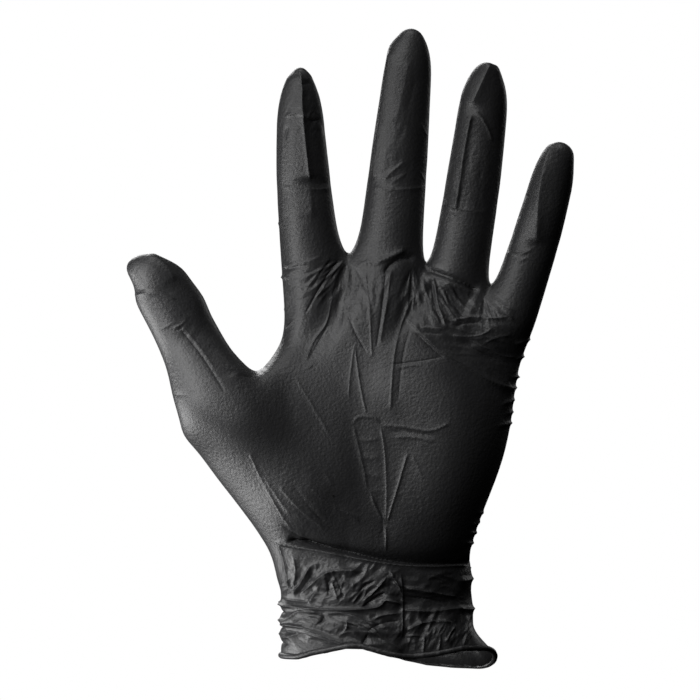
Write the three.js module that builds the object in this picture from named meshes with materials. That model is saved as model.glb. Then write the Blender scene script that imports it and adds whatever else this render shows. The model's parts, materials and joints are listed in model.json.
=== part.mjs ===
import * as THREE from "three";

// A disposable nitrile exam glove in the form that an open left hand gives it.
// The palm faces -Y, the fingers point up +Z and the thumb leans to -X.
// Lengths are in millimetres, and the origin is the middle of the wrist.

// The film and its rolled edge
const WALL = 1; // the real film is about 0.1 mm
const BEAD_RADIUS = 1.3;

// The hand that fills the glove
const WRIST_WIDTH = 75;
const WRIST_DEPTH = 40;
const PALM_LENGTH = 106; // wrist to the middle finger's crease
const PALM_WIDTH = 90;
const PALM_DEPTH = 30;
const THUMB_WEB_HEIGHT = 64;
const THUMB_WEB_DEPTH = 11;
const FINGER_WEB_DEPTH = 9;
const WEB_DROP = 4; // the webs lie this much lower than the roots' middles
const WEB_SAG = 3; // a web's front and back lie this much lower than its middle
const WEB_REACH = 18; // the film is drawn smooth this far from a web
const PAD_HEIGHT = 8; // the tallest swelling of the palm
const PAD_REACH = 16; // how far a swelling reaches to each side
const FINGER_LENGTH = 91; // the middle finger, from just below its crease
const FINGER_WIDTH = 24.8;
const FINGER_DEPTH = 20.5;
const THUMB_LENGTH = 60;
const THUMB_WIDTH = 27;
const THUMB_DEPTH = 23;

// The cuff below the wrist
const CUFF_LENGTH = 38;
const NECK_WIDTH = 70;
const HEM_WIDTH = 79;
const HEM_DEPTH = 50;
const HEM_WAVE = 6; // how far the hem dips at its lowest
const FOLD_HEIGHT = 1.6; // the tallest gather of the loose film
const FOLD_REACH = 4; // how far a broad fold reaches to each side

// How fine the film is. A finger has a multiple of 4 sides.
const FINGER_SIDES = 16;
const TIP_ROWS = 4;
const UPPER_PALM_ROWS = 8;
const LOWER_PALM_ROWS = 8;
const CUFF_ROWS = 13;
const BEAD_ROWS = 5;
const WEB_PASSES = 8; // how often the film is drawn smooth round the webs
const WEB_PULL = 0.6; // how far it moves each time

// Lengthwise sections of a finger, from the root up: at is a share of its length, and width and depth are
// shares of what its taper gives there. The narrow ones are the creases at the joints.
const FINGER_SECTIONS = [
  { at: 0.13, width: 0.99, depth: 1.0 },
  { at: 0.27, width: 0.98, depth: 1.04 },
  { at: 0.37, width: 0.99, depth: 1.0 },
  { at: 0.42, width: 0.98, depth: 0.94 },
  { at: 0.48, width: 1.0, depth: 1.0 },
  { at: 0.58, width: 0.99, depth: 1.03 },
  { at: 0.67, width: 0.98, depth: 0.98 },
  { at: 0.72, width: 0.97, depth: 0.93 },
];
const THUMB_SECTIONS = [
  { at: 0.12, width: 1.0, depth: 1.0 },
  { at: 0.23, width: 0.945, depth: 0.97 },
  { at: 0.33, width: 0.92, depth: 0.95 },
  { at: 0.42, width: 0.92, depth: 0.91 },
  { at: 0.5, width: 0.92, depth: 0.93 },
  { at: 0.58, width: 0.93, depth: 0.95 },
  { at: 0.66, width: 0.94, depth: 0.93 },
  { at: 0.73, width: 0.95, depth: 0.9 },
];

// The fingers from the thumb's side on. length, width and depth are shares of the middle finger's. x, y
// and z place the root's middle as shares of the palm's width, depth and length. lean is in degrees from
// +Z towards +X, and curl is in degrees towards the palm. bow is a sideways share of the length, taper is
// the share of its width that the finger loses on its way up, and cap is the share of its length that is
// the round tip.
const FINGERS = [
  { length: 0.816, width: 0.931, depth: 0.951, x: -0.235, y: 0, z: 0.945,
    lean: -3.8, curl: 6, bow: -0.019, taper: 0.315, cap: 0.243 },
  { length: 1, width: 1, depth: 1, x: 0.068, y: 0.03, z: 0.935,
    lean: 5.6, curl: 5, bow: 0, taper: 0.332, cap: 0.18 },
  { length: 0.934, width: 0.887, depth: 0.951, x: 0.34, y: 0, z: 0.872,
    lean: 8.2, curl: 6, bow: 0.012, taper: 0.2, cap: 0.2 },
  { length: 0.714, width: 0.77, depth: 0.854, x: 0.571, y: -0.1, z: 0.805,
    lean: 16.1, curl: 8, bow: 0.018, taper: 0.215, cap: 0.24 },
];

// The thumb, with its root placed in the same way. Its length, width and depth are shares of the thumb's
// sizes.
const THUMB = {
  length: 1, width: 1, depth: 1, x: -0.632, y: -0.33, z: 0.51,
  lean: -27.5, curl: 8, bow: 0.025, taper: 0.22, cap: 0.22,
};

// Sections of the cuff and the hand, from the hem up. z is a share of the palm's length, or of the cuff's
// below the wrist. left and right are shares of the width, and front and back of the depth. The knuckle
// section's z is its share of the way from the thumb's root section to each finger's root.
const LOWER_SECTIONS = [
  { z: -1, width: HEM_WIDTH, depth: HEM_DEPTH, left: 0.415, right: 0.585, front: 0.5, back: 0.5 },
  { z: -0.78, width: NECK_WIDTH, depth: HEM_DEPTH, left: 0.47, right: 0.562, front: 0.46, back: 0.46 },
  { z: -0.45, width: NECK_WIDTH, depth: WRIST_DEPTH, left: 0.47, right: 0.525, front: 0.54, back: 0.5 },
  { z: 0, width: WRIST_WIDTH, depth: WRIST_DEPTH, left: 0.51, right: 0.49, front: 0.52, back: 0.48 },
  { z: 0.31, width: PALM_WIDTH, depth: PALM_DEPTH, left: 0.685, right: 0.538, front: 0.68, back: 0.55 },
];
const WRIST_KEY = 3; // the wrist's place in that table
const THUMB_ROOT_SECTION = {
  z: 0.6, width: PALM_WIDTH, depth: PALM_DEPTH, left: 0.43, right: 0.6, front: 0.55, back: 0.5,
};
const KNUCKLE_SECTION = {
  z: 0.36, width: PALM_WIDTH, depth: PALM_DEPTH, left: 0.36, right: 0.622, front: 0.47, back: 0.44,
};

// The hem's dips and rises, from the little finger's side over the back and round the front again. turn is
// a share of the way round, and dip a share of the deepest.
const HEM_DIPS = [
  { turn: 0, dip: 0.3 },
  { turn: 0.06, dip: 0.9 },
  { turn: 0.16, dip: 1 },
  { turn: 0.25, dip: 0.4 },
  { turn: 0.34, dip: -0.1 },
  { turn: 0.43, dip: 0.1 },
  { turn: 0.5, dip: 0.3 },
  { turn: 0.59, dip: 0.2 },
  { turn: 0.69, dip: -0.65 },
  { turn: 0.77, dip: 0.05 },
  { turn: 0.87, dip: -0.4 },
  { turn: 0.94, dip: -0.4 },
  { turn: 1, dip: 0.3 },
];

// The palm's swellings, as strokes like those of the folds below, but in shares of the tallest swelling
const PADS = [
  { x0: -0.62, z0: 0.5, x1: -0.3, z1: 0.2, side: -1, rise: 0.85, reach: 1 },
  { x0: 0.44, z0: 0.45, x1: 0.32, z1: 0.16, side: -1, rise: 0.4, reach: 0.9 },
  { x0: -0.22, z0: 0.86, x1: 0.5, z1: 0.77, side: -1, rise: 0.15, reach: 0.7 },
  { x0: 0.0, z0: 0.58, x1: 0.1, z1: 0.35, side: -1, rise: -0.35, reach: 1 },
];

// Folds and dents, each a stroke from one point to another. x is a share of the palm's width, and z of the
// palm's length, or of the cuff's below the wrist. side is the face that it marks: -1 the palm's, 1 the
// back, 0 all round. rise is a share of the tallest gather, less than 0 for a groove, and reach is a share
// of the broad fold's.
const FOLDS = [
  // the taut heel of the palm ends in a step above the loose cuff
  { x0: -0.42, z0: 0.03, x1: -0.1, z1: -0.06, side: -1, rise: -0.8, reach: 0.7 },
  { x0: -0.1, z0: -0.06, x1: 0.42, z1: -0.13, side: -1, rise: -0.9, reach: 0.7 },
  { x0: -0.42, z0: 0.0, x1: 0.42, z1: 0.0, side: 1, rise: -0.7, reach: 0.9 },
  // lobes of bunched film down the cuff
  { x0: -0.4, z0: -0.29, x1: 0.42, z1: -0.27, side: 0, rise: 0.5, reach: 0.7 },
  { x0: -0.4, z0: -0.52, x1: 0.1, z1: -0.46, side: -1, rise: 0.7, reach: 0.6 },
  { x0: -0.05, z0: -0.5, x1: 0.42, z1: -0.52, side: -1, rise: -0.6, reach: 0.6 },
  { x0: -0.4, z0: -0.68, x1: 0.05, z1: -0.8, side: -1, rise: 0.6, reach: 0.6 },
  { x0: -0.4, z0: -0.6, x1: 0.42, z1: -0.55, side: 1, rise: 0.7, reach: 0.8 },
  // upright gathers in the cuff
  { x0: 0.12, z0: -0.3, x1: 0.13, z1: -0.9, side: -1, rise: -0.7, reach: 0.7 },
  { x0: 0.32, z0: -0.7, x1: 0.26, z1: -0.95, side: -1, rise: 0.6, reach: 0.8 },
  { x0: -0.25, z0: -0.15, x1: -0.31, z1: -0.4, side: -1, rise: -0.6, reach: 0.6 },
  { x0: -0.15, z0: -0.1, x1: -0.2, z1: -0.95, side: 1, rise: -0.6, reach: 0.9 },
  { x0: 0.1, z0: -0.1, x1: 0.14, z1: -0.95, side: 1, rise: 0.7, reach: 0.9 },
  { x0: 0.28, z0: -0.05, x1: 0.3, z1: -0.9, side: 1, rise: -0.6, reach: 0.9 },
  // the palm's creases
  { x0: -0.16, z0: 0.86, x1: -0.27, z1: 0.64, side: -1, rise: -0.7, reach: 0.9 },
  { x0: 0.08, z0: 0.83, x1: 0.05, z1: 0.5, side: -1, rise: 0.6, reach: 0.8 },
  { x0: 0.16, z0: 0.77, x1: 0.48, z1: 0.57, side: -1, rise: -0.6, reach: 0.9 },
  { x0: -0.08, z0: 0.42, x1: -0.02, z1: 0.2, side: -1, rise: -0.6, reach: 0.9 },
  { x0: 0.02, z0: 0.19, x1: 0.06, z1: 0.06, side: -1, rise: -0.5, reach: 0.8 },
  // loose film between the tendons on the back of the hand
  { x0: -0.08, z0: 0.92, x1: -0.06, z1: 0.45, side: 1, rise: -0.7, reach: 1.2 },
  { x0: 0.21, z0: 0.9, x1: 0.12, z1: 0.42, side: 1, rise: -0.7, reach: 1.2 },
  { x0: 0.46, z0: 0.82, x1: 0.28, z1: 0.4, side: 1, rise: -0.7, reach: 1.2 },
];

const FACING = 0.6; // where the film faces a side this much, a stroke has its full rise
const UP = new THREE.Vector3(0, 0, 1);
const BACK = new THREE.Vector3(0, 1, 0);
const FULL_TURN = 2 * Math.PI;
const HALF = FINGER_SIDES / 2;
const THUMB_COLUMN = HALF + 1; // the side of the index finger that runs down into the thumb's web

// The film's outer vertices, and its faces as lists of their numbers
const vertices = [];
const faces = [];

function addVertex(position) {
  vertices.push(position.clone());
  return vertices.length - 1;
}

// A band of four-sided faces between two loops, and the fan that closes a fingertip
function addBand(lower, upper) {
  lower.forEach((number, i) => {
    const next = (i + 1) % lower.length;
    faces.push([number, lower[next], upper[next], upper[i]]);
  });
}

function addFan(loop, pole) {
  loop.forEach((number, i) => faces.push([number, loop[(i + 1) % loop.length], pole]));
}

// A share of the palm's length above the wrist, or of the cuff's below it
function heightOf(share) {
  return share * (share < 0 ? CUFF_LENGTH : PALM_LENGTH);
}

// A section's outline, counter-clockwise seen from above. turn is 0 at the little finger's side and grows
// over the back.
function sectionPoint(section, turn) {
  const cosine = Math.cos(FULL_TURN * turn);
  const sine = Math.sin(FULL_TURN * turn);
  const x = cosine * section.width * (cosine > 0 ? section.right : section.left);
  const y = sine * section.depth * (sine > 0 ? section.back : section.front);
  return new THREE.Vector3(x, y, heightOf(section.z));
}

// A row of the fingers' tables with its real length, width and depth
function sizedFinger(row, length, width, depth) {
  return { ...row, length: row.length * length, width: row.width * width, depth: row.depth * depth };
}

// A finger's middle line: straight from its root, with a slight bow to the side and a curl towards the palm
function fingerMiddle(finger, t) {
  const lean = THREE.MathUtils.degToRad(finger.lean);
  const curl = Math.sin(THREE.MathUtils.degToRad(finger.curl));
  const along = new THREE.Vector3(Math.sin(lean), 0, Math.cos(lean));
  const across = new THREE.Vector3(Math.cos(lean), 0, -Math.sin(lean));
  return new THREE.Vector3(finger.x * PALM_WIDTH, finger.y * PALM_DEPTH, finger.z * PALM_LENGTH)
    .addScaledVector(along, t * finger.length)
    .addScaledVector(across, 4 * t * (1 - t) * finger.bow * finger.length)
    .addScaledVector(BACK, -t * t * curl * finger.length);
}

// A ring round a finger at t, a share of its length. Its width tapers, and its tip closes as an ellipse
// does.
function fingerRing(finger, t, width = 1, depth = 1) {
  const step = 0.001;
  const middle = fingerMiddle(finger, t);
  const along = fingerMiddle(finger, t + step).sub(fingerMiddle(finger, t - step)).normalize();
  const side = new THREE.Vector3().crossVectors(BACK, along).normalize();
  const back = new THREE.Vector3().crossVectors(along, side);
  const intoCap = Math.max(0, (t - 1 + finger.cap) / finger.cap);
  const girth = (1 - finger.taper * t) * Math.sqrt(1 - intoCap * intoCap);
  const ring = [];
  for (let k = 0; k < FINGER_SIDES; k++) {
    const angle = (FULL_TURN * k) / FINGER_SIDES;
    const point = middle.clone();
    point.addScaledVector(side, (finger.width / 2) * width * girth * Math.cos(angle));
    point.addScaledVector(back, (finger.depth / 2) * depth * girth * Math.sin(angle));
    ring.push(point);
  }
  return ring;
}

// The film between two fingers is a saddle: a front, a middle and a back vertex that both fingers share
function addWeb(middle, depth) {
  const front = middle.clone().add(new THREE.Vector3(0, -depth / 2, -WEB_SAG));
  const back = middle.clone().add(new THREE.Vector3(0, depth / 2, -WEB_SAG));
  return [addVertex(front), addVertex(middle), addVertex(back)];
}

function pointsOf(loop) {
  return loop.map((number) => vertices[number]);
}

// Each vertex's share of the way round a loop, by how far across it lies, so that the columns below stay
// upright. The vertices before the leftmost one are on the back.
function turnsOf(points, leftmost) {
  const left = Math.min(...points.map((point) => point.x));
  const right = Math.max(...points.map((point) => point.x));
  return points.map((point, i) => {
    const across = THREE.MathUtils.clamp((2 * point.x - left - right) / (right - left), -1, 1);
    const turn = Math.acos(across) / FULL_TURN;
    return i <= leftmost ? turn : 1 - turn;
  });
}

const fingers = FINGERS.map((row) => sizedFinger(row, FINGER_LENGTH, FINGER_WIDTH, FINGER_DEPTH));
const thumb = sizedFinger(THUMB, THUMB_LENGTH, THUMB_WIDTH, THUMB_DEPTH);

// The rings at the roots. Neighbouring fingers share the three vertices of the web between them.
const roots = fingers.map(() => new Array(FINGER_SIDES));
for (let i = 1; i < fingers.length; i++) {
  const leftSide = fingerRing(fingers[i - 1], 0)[0];
  const rightSide = fingerRing(fingers[i], 0)[HALF];
  const between = leftSide.lerp(rightSide, 0.5).addScaledVector(UP, -WEB_DROP);
  const [front, middle, back] = addWeb(between, FINGER_WEB_DEPTH);
  roots[i - 1][FINGER_SIDES - 1] = roots[i][HALF + 1] = front;
  roots[i - 1][0] = roots[i][HALF] = middle;
  roots[i - 1][1] = roots[i][HALF - 1] = back;
}
fingers.forEach((finger, i) => {
  fingerRing(finger, 0).forEach((point, k) => {
    roots[i][k] ??= addVertex(point);
  });
});

// The loop round all the roots: from the little finger's outer side over the back to the index, and back
// in front
const last = fingers.length - 1;
const rootLoop = roots[last].slice(0, HALF);
for (let i = last - 1; i > 0; i--) rootLoop.push(...roots[i].slice(2, HALF));
rootLoop.push(...roots[0].slice(2, FINGER_SIDES - 1));
for (let i = 1; i < last; i++) rootLoop.push(...roots[i].slice(HALF + 1, FINGER_SIDES - 1));
rootLoop.push(...roots[last].slice(HALF + 1));

// The loop round the palm, level with the thumb's root, and the thumb's own root ring. They share the web
// there.
const rootTurns = turnsOf(pointsOf(rootLoop), rootLoop.indexOf(roots[0][HALF]));
const webColumn = rootLoop.indexOf(roots[0][THUMB_COLUMN]);
const palmPoints = rootTurns.map((turn) => sectionPoint(THUMB_ROOT_SECTION, turn));
const thumbPoints = fingerRing(thumb, 0);
const webMiddle = thumbPoints[0].clone().lerp(palmPoints[webColumn], 0.5).setZ(THUMB_WEB_HEIGHT);
const [webFront, webTop, webBack] = addWeb(webMiddle, THUMB_WEB_DEPTH);
const palmLoop = palmPoints.map((point, i) => {
  if (i === webColumn - 1) return webBack;
  if (i === webColumn) return webTop;
  if (i === webColumn + 1) return webFront;
  return addVertex(point);
});
const thumbRoot = thumbPoints.map((point, k) => {
  if (k === FINGER_SIDES - 1) return webFront;
  if (k === 0) return webTop;
  if (k === 1) return webBack;
  return addVertex(point);
});

// The fingers and the thumb, each from its root ring to the pole of its tip. It returns the second ring's
// points.
function addFinger(finger, root, sections) {
  const rings = sections.map(({ at, width, depth }) => fingerRing(finger, at, width, depth));
  for (let row = 0; row < TIP_ROWS; row++) {
    const angle = ((Math.PI / 2) * row) / TIP_ROWS;
    const { width, depth } = sections[sections.length - 1];
    rings.push(fingerRing(finger, 1 - finger.cap + finger.cap * Math.sin(angle), width, depth));
  }
  let lower = root;
  for (const ring of rings) {
    const upper = ring.map(addVertex);
    addBand(lower, upper);
    lower = upper;
  }
  addFan(lower, addVertex(fingerMiddle(finger, 1)));
  return rings[0];
}

const aboveRoots = fingers.map((finger, i) => addFinger(finger, roots[i], FINGER_SECTIONS));
const aboveThumb = addFinger(thumb, thumbRoot, THUMB_SECTIONS);

// The point that a root vertex's column of the film runs on to
function aboveRoot(number) {
  const finger = roots.findIndex((ring) => ring.includes(number));
  return aboveRoots[finger][roots[finger].indexOf(number)];
}

// The loop that takes in both the palm and the thumb's root, and its shares of the way round
const outerThumb = thumbRoot.slice(2, FINGER_SIDES - 1);
const splitLoop = [...palmLoop.slice(0, webColumn), ...outerThumb, ...palmLoop.slice(webColumn + 1)];
const splitTurns = turnsOf(pointsOf(splitLoop), splitLoop.indexOf(thumbRoot[HALF]));

// A column of the film is one smooth curve up from the hem, through its point in each section
function columnCurve(points) {
  return new THREE.CatmullRomCurve3(points, false, "centripetal");
}

// Rows of the film between two loops. from and to say how many of its points each column has above the
// loops.
function addRows(curves, from, to, rows, lower, upper) {
  let below = lower;
  for (let row = 1; row < rows; row++) {
    const left = THREE.MathUtils.lerp(from, to, row / rows);
    const loop = curves.map((curve) => addVertex(curve.getPoint(1 - left / (curve.points.length - 1))));
    addBand(below, loop);
    below = loop;
  }
  addBand(below, upper);
}

const lowerCurves = splitLoop.map((number, i) => {
  const points = LOWER_SECTIONS.map((section) => sectionPoint(section, splitTurns[i]));
  const palmColumn = palmLoop.indexOf(number);
  const above = palmColumn < 0 ? aboveThumb[thumbRoot.indexOf(number)] : vertices[rootLoop[palmColumn]];
  return columnCurve([...points, vertices[number], above]);
});
const upperCurves = palmLoop.map((number, i) => {
  const splitColumn = splitLoop.indexOf(number);
  const below = splitColumn < 0 ? [] : [lowerCurves[splitColumn].points[LOWER_SECTIONS.length - 1]];
  const knuckle = sectionPoint(KNUCKLE_SECTION, rootTurns[i]);
  knuckle.z = THREE.MathUtils.lerp(palmPoints[i].z, vertices[rootLoop[i]].z, KNUCKLE_SECTION.z);
  return columnCurve([...below, vertices[number], knuckle, vertices[rootLoop[i]], aboveRoot(rootLoop[i])]);
});

// The palm above the thumb's root, the palm below it, and the cuff
const ABOVE_ROOTS = 1;
const ABOVE_SPLIT = 1;
const ABOVE_PALM = 3;
const ABOVE_HEM = LOWER_SECTIONS.length + 1;
const ABOVE_WRIST = ABOVE_HEM - WRIST_KEY;
const wristLoop = lowerCurves.map((curve) => addVertex(curve.points[WRIST_KEY]));
const hemLoop = lowerCurves.map((curve) => addVertex(curve.points[0]));
addRows(upperCurves, ABOVE_PALM, ABOVE_ROOTS, UPPER_PALM_ROWS, palmLoop, rootLoop);
addRows(lowerCurves, ABOVE_WRIST, ABOVE_SPLIT, LOWER_PALM_ROWS, wristLoop, splitLoop);
addRows(lowerCurves, ABOVE_HEM, ABOVE_WRIST, CUFF_ROWS, hemLoop, wristLoop);

// How far the hem dips at a point's share of the way round it, fading out up the cuff
function hemDrop(point) {
  const turn = THREE.MathUtils.euclideanModulo(Math.atan2(point.y, point.x) / FULL_TURN, 1);
  const after = HEM_DIPS.findIndex((row) => row.turn > turn);
  const before = HEM_DIPS[after - 1];
  const share = THREE.MathUtils.smoothstep(turn, before.turn, HEM_DIPS[after].turn);
  const dip = THREE.MathUtils.lerp(before.dip, HEM_DIPS[after].dip, share);
  const nearHem = THREE.MathUtils.smoothstep(-point.z, CUFF_LENGTH / 2, CUFF_LENGTH);
  return -HEM_WAVE * dip * nearHem;
}

// How far a table of strokes lifts the film at a point, as a share of the table's tallest
function strokeRise(point, normal, strokes, reach) {
  let rise = 0;
  for (const stroke of strokes) {
    const start = new THREE.Vector2(stroke.x0 * PALM_WIDTH, heightOf(stroke.z0));
    const end = new THREE.Vector2(stroke.x1 * PALM_WIDTH, heightOf(stroke.z1));
    const line = end.clone().sub(start);
    const place = new THREE.Vector2(point.x, point.z).sub(start);
    const along = THREE.MathUtils.clamp(place.dot(line) / line.lengthSq(), 0, 1);
    const away = place.distanceTo(line.multiplyScalar(along)) / (stroke.reach * reach);
    const facing = stroke.side === 0 ? 1 : THREE.MathUtils.smoothstep(stroke.side * normal.y, 0, FACING);
    rise += stroke.rise * facing * Math.exp(-away * away);
  }
  return rise;
}

// The film is drawn smooth round some centres: each vertex near one moves towards the middle of its
// neighbours
function drawSmooth(points, centres, reach, passes) {
  const neighbours = points.map(() => new Set());
  for (const face of faces) {
    face.forEach((number, i) => {
      const next = face[(i + 1) % face.length];
      neighbours[number].add(next);
      neighbours[next].add(number);
    });
  }
  const pulls = points.map((point) => {
    const nearest = Math.min(...centres.map((centre) => point.distanceTo(centre)));
    return WEB_PULL * (1 - THREE.MathUtils.smoothstep(nearest, 0, reach));
  });
  let drawn = points;
  for (let pass = 0; pass < passes; pass++) {
    drawn = drawn.map((point, i) => {
      if (pulls[i] === 0) return point;
      const middle = new THREE.Vector3();
      neighbours[i].forEach((number) => middle.add(drawn[number]));
      return point.clone().lerp(middle.divideScalar(neighbours[i].size), pulls[i]);
    });
  }
  return drawn;
}

// Normals of the skin, each from the faces round a vertex
function normalsOf(points) {
  const normals = points.map(() => new THREE.Vector3());
  for (const face of faces) {
    const diagonal = points[face[2]].clone().sub(points[face[0]]);
    const other = points[face[face.length - 1]].clone().sub(points[face[1]]);
    const areaNormal = diagonal.cross(other);
    face.forEach((number) => normals[number].add(areaNormal));
  }
  return normals.map((normal) => normal.normalize());
}

const webs = roots.slice(1).map((ring) => ring[HALF]);
const thumbFront = thumbRoot[HALF + HALF / 2];
const centres = [...webs, webTop, thumbFront].map((number) => vertices[number]);
const smooth = drawSmooth(vertices, centres, WEB_REACH, WEB_PASSES);
const smoothNormals = normalsOf(smooth);
const outer = smooth.map((point, i) => {
  const pad = PAD_HEIGHT * strokeRise(point, smoothNormals[i], PADS, PAD_REACH);
  const fold = FOLD_HEIGHT * strokeRise(point, smoothNormals[i], FOLDS, FOLD_REACH);
  const moved = point.clone().addScaledVector(smoothNormals[i], pad + fold);
  return moved.addScaledVector(UP, hemDrop(point));
});
const outerNormals = normalsOf(outer);
const inner = outer.map((point, i) => point.clone().addScaledVector(outerNormals[i], -WALL));

// The film's two skins, joined by the rolled bead round the hem
function filmGeometry() {
  const points = [...outer, ...inner];
  const shift = outer.length;
  const innerFaces = faces.map((face) => face.map((number) => number + shift).reverse());
  const corners = [...faces, ...innerFaces];

  const startAngle = Math.acos(WALL / 2 / BEAD_RADIUS);
  const sweep = 2 * startAngle + Math.PI;
  let above = hemLoop;
  for (let row = 1; row <= BEAD_ROWS; row++) {
    const angle = startAngle - (sweep * row) / BEAD_ROWS;
    const loop = hemLoop.map((number) => {
      if (row === BEAD_ROWS) return number + shift;
      const out = outerNormals[number].clone().setZ(0).normalize();
      const middle = outer[number].clone().addScaledVector(out, -WALL / 2);
      middle.addScaledVector(UP, -BEAD_RADIUS * Math.sin(startAngle));
      middle.addScaledVector(out, BEAD_RADIUS * Math.cos(angle));
      points.push(middle.addScaledVector(UP, BEAD_RADIUS * Math.sin(angle)));
      return points.length - 1;
    });
    above.forEach((number, i) => {
      const next = (i + 1) % above.length;
      corners.push([loop[i], loop[next], above[next], number]);
    });
    above = loop;
  }

  const triangles = corners.flatMap((face) =>
    face.length === 4 ? [face[0], face[1], face[2], face[0], face[2], face[3]] : face,
  );
  const geometry = new THREE.BufferGeometry();
  const numbers = points.flatMap((point) => point.toArray());
  geometry.setAttribute("position", new THREE.Float32BufferAttribute(numbers, 3));
  geometry.setIndex(triangles);
  geometry.computeVertexNormals();
  return geometry;
}

const nitrile = new THREE.MeshStandardMaterial({ color: 0x101113, roughness: 0.5, metalness: 0 });
const glove = new THREE.Mesh(filmGeometry(), nitrile);
glove.name = "glove";

const part = new THREE.Group();
part.add(glove);

export default part;
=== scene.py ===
# %% [markdown]
# # A black nitrile exam glove
#
# The real glove is one seamless film. A porcelain hand is dipped in liquid nitrile, the film cures on it, and
# its edge is rolled up into a bead before it is peeled off. Worn, the film is tight over the hand and loose
# round the wrist, so its shape is the hand's shape, and its character is in the creases.
#
# The imported solid already has that shape at its real size. It is loaded first.

# %% Load the solid that everything is built on
import json
import math
import random

import bmesh
import bpy
import numpy as np
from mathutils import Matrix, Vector, noise

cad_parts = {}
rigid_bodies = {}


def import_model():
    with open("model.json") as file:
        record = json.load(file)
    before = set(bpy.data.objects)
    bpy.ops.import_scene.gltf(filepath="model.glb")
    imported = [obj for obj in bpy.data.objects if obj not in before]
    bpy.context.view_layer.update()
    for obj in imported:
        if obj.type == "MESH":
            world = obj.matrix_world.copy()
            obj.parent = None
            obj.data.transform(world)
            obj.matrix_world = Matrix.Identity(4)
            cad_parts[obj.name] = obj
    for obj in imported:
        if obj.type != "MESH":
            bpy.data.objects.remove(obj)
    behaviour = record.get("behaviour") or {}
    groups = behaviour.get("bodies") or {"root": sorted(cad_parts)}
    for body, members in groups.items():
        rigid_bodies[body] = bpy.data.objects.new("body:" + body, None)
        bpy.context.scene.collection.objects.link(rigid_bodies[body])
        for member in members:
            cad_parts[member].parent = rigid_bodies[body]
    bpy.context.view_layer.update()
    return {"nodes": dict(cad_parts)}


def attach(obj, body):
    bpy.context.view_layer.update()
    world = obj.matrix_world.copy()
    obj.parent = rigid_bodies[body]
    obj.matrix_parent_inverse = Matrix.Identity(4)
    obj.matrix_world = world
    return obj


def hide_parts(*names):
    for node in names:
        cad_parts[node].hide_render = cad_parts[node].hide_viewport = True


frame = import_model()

MM = 0.001

# %% [markdown]
# ## Helpers for working as by hand
#
# An operator acts on whatever is selected. Loading leaves things selected, so each step first selects just
# the object it works on. Faces and vertices are then picked in code by where they are or which way they face.


# %% Select one object, and edit it
def select_only(piece):
    bpy.ops.object.select_all(action="DESELECT")
    piece.select_set(True)
    bpy.context.view_layer.objects.active = piece


def start_editing(piece, kind):
    select_only(piece)
    bpy.ops.object.mode_set(mode="EDIT")
    bpy.ops.mesh.select_mode(type=kind)
    bpy.ops.mesh.select_all(action="DESELECT")


def stop_editing():
    bpy.ops.object.mode_set(mode="OBJECT")


def apply_modifier(piece, kind, **settings):
    select_only(piece)
    modifier = piece.modifiers.new(kind.title(), kind)
    for name, value in settings.items():
        setattr(modifier, name, value)
    bpy.ops.object.modifier_apply(modifier=modifier.name)


# %% Read and write all the points of a mesh at once, in millimetres
def read_points(piece, field="co"):
    flat = np.empty(len(piece.data.vertices) * 3)
    piece.data.vertices.foreach_get(field, flat)
    scale = MM if field == "co" else 1
    return flat.reshape(-1, 3) / scale


def write_points(piece, points):
    piece.data.vertices.foreach_set("co", (points * MM).ravel())
    piece.data.update()


def smooth_step(low, high, value):
    share = np.clip((value - low) / (high - low), 0, 1)
    return share * share * (3 - 2 * share)


# %% [markdown]
# ## The film's outer skin
#
# The film could be sculpted from a sphere, but the solid has its outline already. A copy of the solid is
# merged into one surface and turned back into quads, which subdivide smoothly. A cut just above the rolled edge
# parts the outer skin from the inner one, and only the outer skin is kept. The cuff is then drawn down again
# with a few extruded rows.

# %% Copy the solid, cut it above the bead and keep the outer skin
CUT_HEIGHT = -30
HEM_HEIGHT = -40
HEM_ROWS = 4
MERGE_DISTANCE = 0.01
HEM_FLARE = 1.022  # how much wider each new row is, measured from the thumb's side
HEM_LEFT = -32

film = bpy.data.objects.new("glove_film", frame["nodes"]["glove"].data.copy())
bpy.context.scene.collection.objects.link(film)

start_editing(film, "VERT")
bpy.ops.mesh.select_all(action="SELECT")
bpy.ops.mesh.remove_doubles(threshold=MERGE_DISTANCE * MM)
bpy.ops.mesh.tris_convert_to_quads(face_threshold=math.pi, shape_threshold=math.pi)
bpy.ops.mesh.select_all(action="SELECT")
bpy.ops.mesh.bisect(plane_co=(0, 0, CUT_HEIGHT * MM), plane_no=(0, 0, 1), clear_inner=True)
bpy.ops.mesh.select_all(action="DESELECT")
skin = bmesh.from_edit_mesh(film.data)
max(skin.verts, key=lambda vertex: vertex.co.z).select_set(True)
skin.select_flush(True)
bmesh.update_edit_mesh(film.data)
bpy.ops.mesh.select_linked()
bpy.ops.mesh.select_all(action="INVERT")
bpy.ops.mesh.delete(type="VERT")

bpy.ops.mesh.select_mode(type="EDGE")
bpy.ops.mesh.select_non_manifold()
row_drop = (HEM_HEIGHT - CUT_HEIGHT) / HEM_ROWS * MM
for row in range(HEM_ROWS):
    bpy.ops.mesh.extrude_edges_move(TRANSFORM_OT_translate={"value": (0, 0, row_drop)})
    centre = (HEM_LEFT * MM, 0, 0)
    bpy.ops.transform.resize(value=(HEM_FLARE, 1, 1), center_override=centre)
stop_editing()
faces = film.data.polygons
print("outer skin:", len(faces), "faces,", sum(len(face.vertices) == 4 for face in faces), "with four sides")

# %% [markdown]
# A subdivision surface turns the coarse quads into a smooth film with a face about every millimetre. It draws
# a round form in a little, so the film is moved out again by about as much as it lost.

# %% Smooth the film
SHRINKAGE = 0.3

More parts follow.
